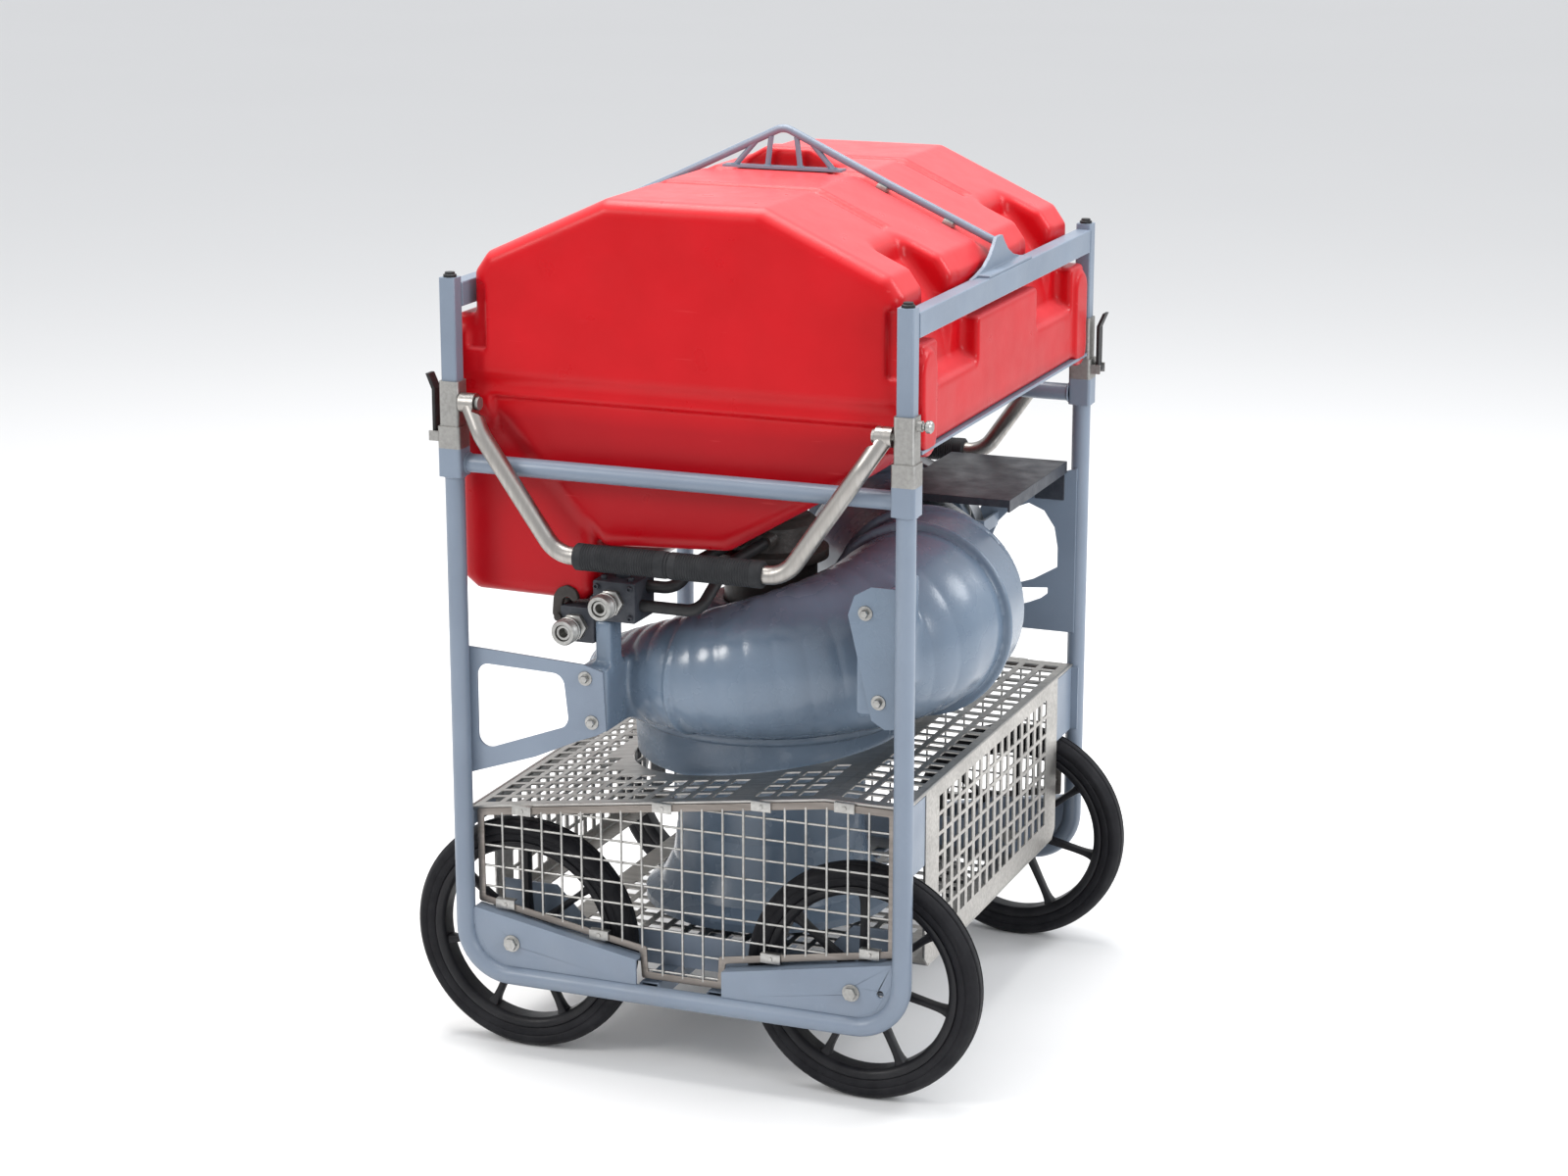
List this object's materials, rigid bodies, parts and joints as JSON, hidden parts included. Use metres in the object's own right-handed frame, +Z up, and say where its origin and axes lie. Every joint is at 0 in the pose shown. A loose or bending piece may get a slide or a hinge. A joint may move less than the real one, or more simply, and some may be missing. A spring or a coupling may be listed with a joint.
{
  "type": "wheeled floating fire water pump unit",
  "caption": "Wheeled floating fire-water pump: tubular hoop frame on spoked wheels, strainer cage, volute pump and a moulded float with a lifting bow.",
  "frame": {"origin": "on the ground under the middle of the trolley's bounding box", "axes": "+Z up, +X along the rolling direction, -Y towards the hoop beside the hydraulic couplings, +Y towards the discharge outlet"},
  "size_m": [0.752, 0.769, 1.1417],
  "materials": {
    "frame_paint": "satin",
    "pump_paint": "satin",
    "float_red": "satin",
    "stainless_sheet": "satin",
    "stainless_wire": "satin",
    "stainless_cast": "matte",
    "stainless_tube": "satin",
    "zinc_fastener": "satin",
    "dark_steel": "satin",
    "dark_casting": "matte",
    "dark_plastic": "matte",
    "wheel_plastic": "satin",
    "tyre": "matte",
    "grip_foam": "matte",
    "hose_rubber": "satin",
    "seal_rubber": "matte",
    "outlet_alloy": "satin",
    "bronze": "satin"
  },
  "bodies": {
    "trolley": {"front_hoop": "frame_paint", "rear_hoop": "frame_paint", "cross_tubes": "frame_paint", "gusset_plates": "frame_paint", "bottom_rails": "frame_paint", "axle_plates": "frame_paint", "axle_bolts": "zinc_fastener", "wire_panel_front": "stainless_wire", "wire_panel_rear": "stainless_wire", "deck_panel": "stainless_sheet", "floor_panel": "stainless_sheet", "side_panel_left": "stainless_sheet", "side_panel_right": "stainless_sheet", "cage_corner_plates": "frame_paint", "panel_clips": "stainless_sheet", "upper_posts": "frame_paint", "post_collars": "stainless_cast", "post_caps": "dark_plastic", "side_rails": "frame_paint", "bow_brackets": "frame_paint", "lifting_bow": "frame_paint", "float_shell": "float_red", "float_plugs": "dark_plastic", "float_trays": "frame_paint", "volute_casing": "pump_paint", "discharge_pipe": "pump_paint", "pump_base": "pump_paint", "suction_bell": "pump_paint", "bearing_housing": "dark_casting", "shaft_seal": "seal_rubber", "hydraulic_motor": "dark_casting", "valve_block": "dark_steel", "coupling_bodies": "zinc_fastener", "hydraulic_hoses": "hose_rubber", "top_cover": "dark_steel", "bracket_front_left": "frame_paint", "bracket_front_right": "frame_paint", "bracket_rear_right": "frame_paint", "pump_bolts": "zinc_fastener"},
    "rotor": {"pump_shaft": "stainless_tube", "impeller": "bronze"},
    "outlet_swivel": {"outlet_ring": "outlet_alloy"},
    "pressure_sleeve": {"coupling_sleeve_pressure": "zinc_fastener"},
    "return_sleeve": {"coupling_sleeve_return": "zinc_fastener"},
    "wheel_front_left_body": {"tyre_front_left": "tyre", "wheel_front_left": "wheel_plastic"},
    "wheel_front_right_body": {"tyre_front_right": "tyre", "wheel_front_right": "wheel_plastic"},
    "wheel_rear_left_body": {"tyre_rear_left": "tyre", "wheel_rear_left": "wheel_plastic"},
    "wheel_rear_right_body": {"tyre_rear_right": "tyre", "wheel_rear_right": "wheel_plastic"},
    "handle_front": {"handle_tube_front": "stainless_tube", "handle_grips_front": "grip_foam"},
    "handle_rear": {"handle_tube_rear": "stainless_tube", "handle_grips_rear": "grip_foam"},
    "lock_pin_front_body": {"lock_pin_front": "zinc_fastener"},
    "latch_front_body": {"latch_lever_front": "dark_plastic"},
    "lock_pin_rear_body": {"lock_pin_rear": "zinc_fastener"},
    "latch_rear_body": {"latch_lever_rear": "dark_plastic"}
  },
  "joints": [
    {"name": "wheel_front_left_spin", "type": "hinge", "parent": "trolley", "child": "wheel_front_left_body", "pos_m": [-0.226, -0.305, 0.15], "axis": [0, 1, 0], "continuous": true},
    {"name": "wheel_front_right_spin", "type": "hinge", "parent": "trolley", "child": "wheel_front_right_body", "pos_m": [0.226, -0.305, 0.15], "axis": [0, 1, 0], "continuous": true},
    {"name": "wheel_rear_left_spin", "type": "hinge", "parent": "trolley", "child": "wheel_rear_left_body", "pos_m": [-0.226, 0.305, 0.15], "axis": [0, 1, 0], "continuous": true},
    {"name": "wheel_rear_right_spin", "type": "hinge", "parent": "trolley", "child": "wheel_rear_right_body", "pos_m": [0.226, 0.305, 0.15], "axis": [0, 1, 0], "continuous": true},
    {"name": "handle_front_fold", "type": "hinge", "parent": "trolley", "child": "handle_front", "pos_m": [0, -0.356, 0.836], "axis": [-1, 0, 0], "range_deg": [0, 100]},
    {"name": "handle_rear_fold", "type": "hinge", "parent": "trolley", "child": "handle_rear", "pos_m": [0, 0.356, 0.836], "axis": [1, 0, 0], "range_deg": [0, 100]},
    {"name": "lock_pin_front_pull", "type": "slide", "parent": "trolley", "child": "lock_pin_front_body", "axis": [1, 0, 0], "range_m": [0, 0.011], "stiffness_N_per_m": 600},
    {"name": "latch_front_swing", "type": "hinge", "parent": "trolley", "child": "latch_front_body", "pos_m": [-0.3125, -0.35, 0.793], "axis": [0, -1, 0], "range_deg": [0, 110]},
    {"name": "lock_pin_rear_pull", "type": "slide", "parent": "trolley", "child": "lock_pin_rear_body", "axis": [-1, 0, 0], "range_m": [0, 0.011], "stiffness_N_per_m": 600},
    {"name": "latch_rear_swing", "type": "hinge", "parent": "trolley", "child": "latch_rear_body", "pos_m": [0.3125, 0.35, 0.793], "axis": [0, 1, 0], "range_deg": [0, 110]},
    {"name": "rotor_spin", "type": "hinge", "parent": "trolley", "child": "rotor", "pos_m": [0, -0.045, 0.45], "axis": [0, 0, 1], "continuous": true},
    {"name": "outlet_swivel_turn", "type": "hinge", "parent": "trolley", "child": "outlet_swivel", "pos_m": [0.048, 0.315, 0.54], "axis": [0, 1, 0], "continuous": true},
    {"name": "pressure_sleeve_slide", "type": "slide", "parent": "trolley", "child": "pressure_sleeve", "axis": [0, 1, 0], "range_m": [0, 0.006], "stiffness_N_per_m": 500},
    {"name": "return_sleeve_slide", "type": "slide", "parent": "trolley", "child": "return_sleeve", "axis": [0, 1, 0], "range_m": [0, 0.006], "stiffness_N_per_m": 500}
  ]
}
